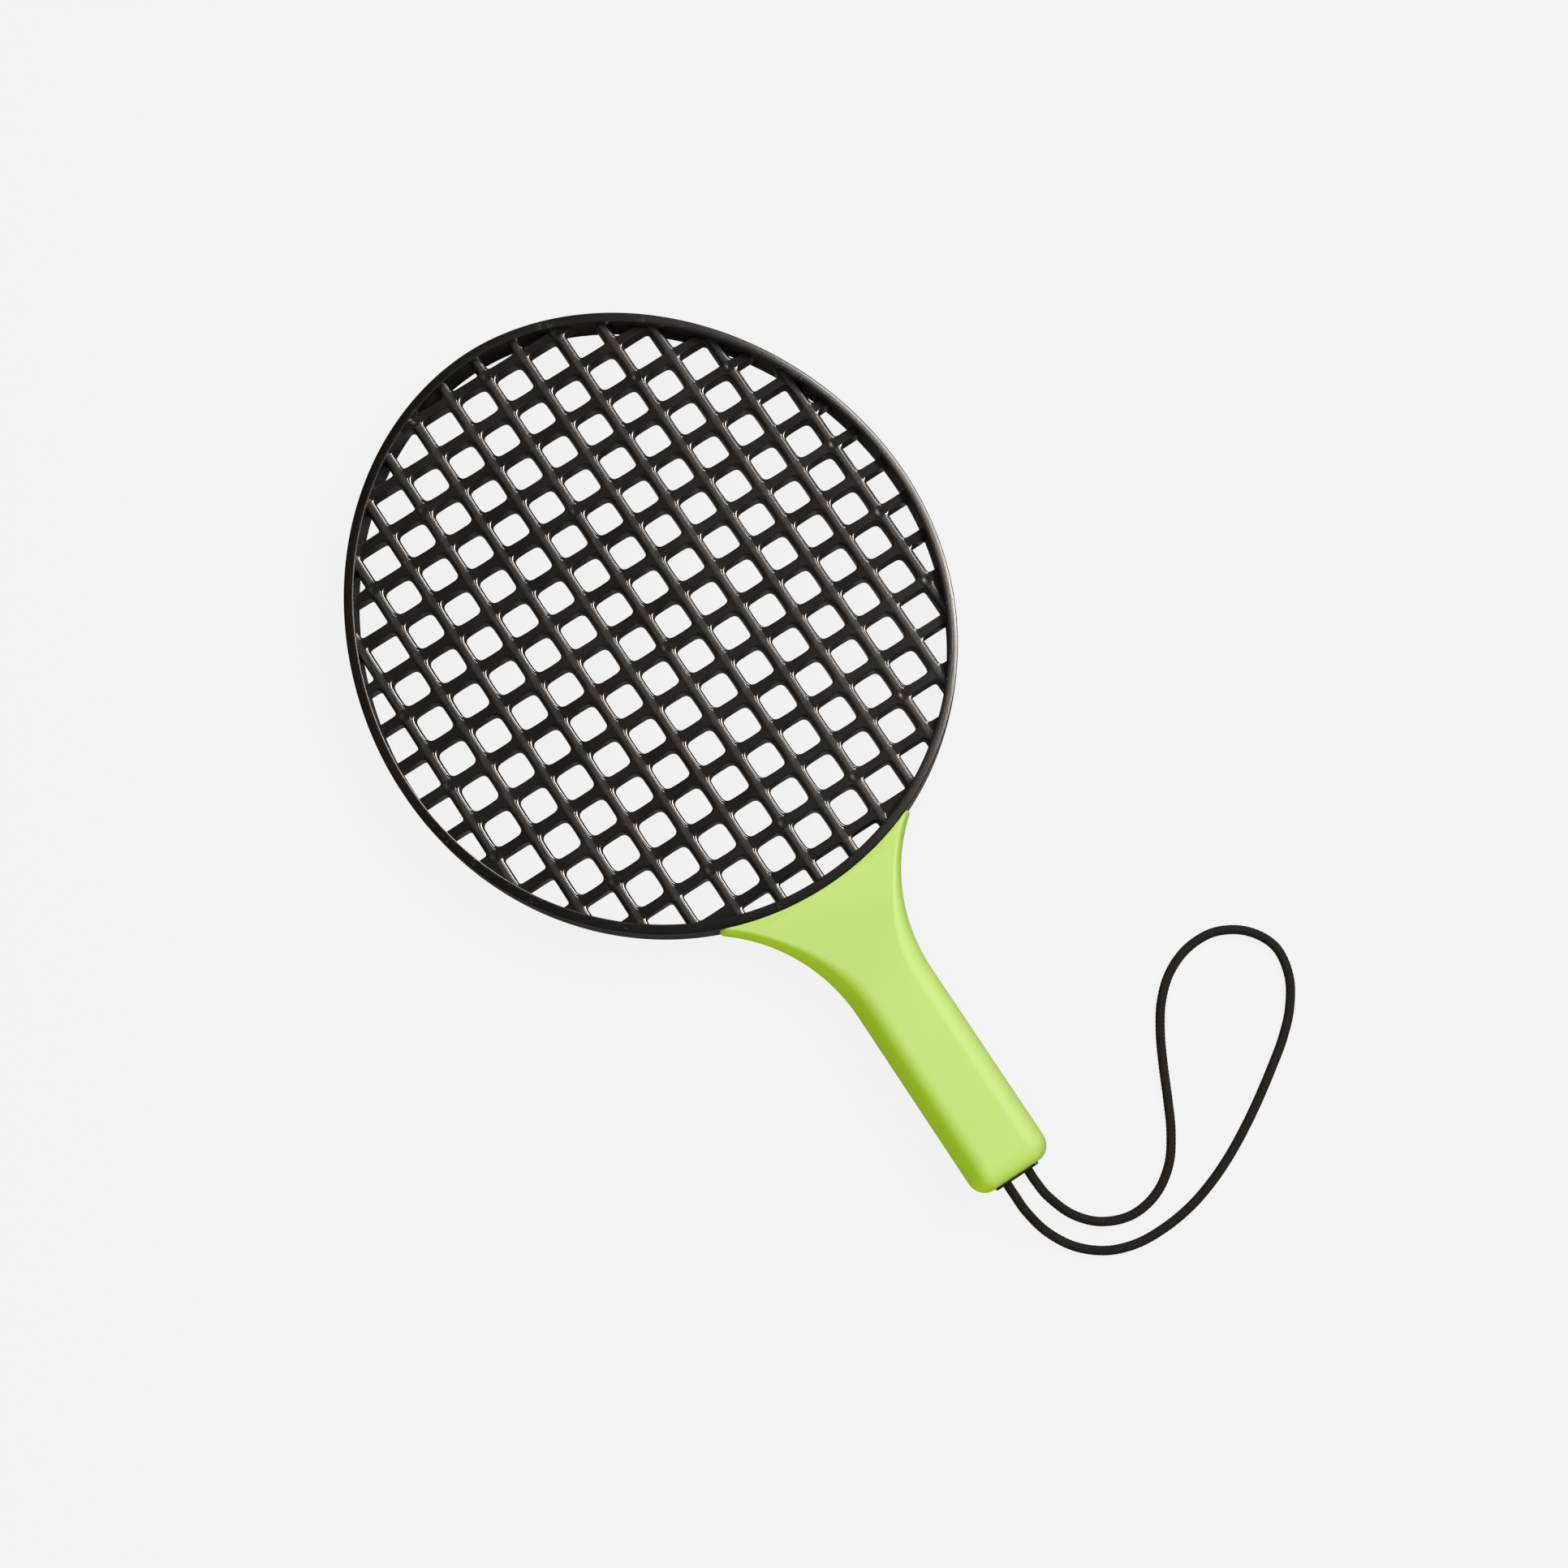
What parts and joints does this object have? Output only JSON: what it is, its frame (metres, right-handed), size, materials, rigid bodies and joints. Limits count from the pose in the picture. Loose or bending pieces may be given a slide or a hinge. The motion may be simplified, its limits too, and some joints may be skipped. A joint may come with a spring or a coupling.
{
  "type": "speedball racket",
  "caption": "Black plastic speedball racket with an egg-shaped open grid head, a soft lime green flared grip and a loop of black wrist cord.",
  "frame": {"origin": "on the surface below the racket, halfway between the tip of the head and the plug at the end of the handle, on the centre line", "axes": "+Y along the handle towards the tip of the head, +Z out of the upper face of the grid, +X across the head to the right"},
  "size_m": [0.2114, 0.3678, 0.02],
  "materials": {
    "frame_plastic": "black injection-moulded polypropylene, satin, with finely scratched rim faces",
    "grip_rubber": "lime green soft thermoplastic rubber, matte",
    "plug_plastic": "black hard plastic, satin",
    "cord_braid": "black braided polyester cord, matte"
  },
  "bodies": {
    "root": {"racket_frame": "frame_plastic", "grip_sleeve": "grip_rubber", "end_plug": "plug_plastic", "cord_knot": "cord_braid", "wrist_cord": "cord_braid"}
  },
  "joints": []
}
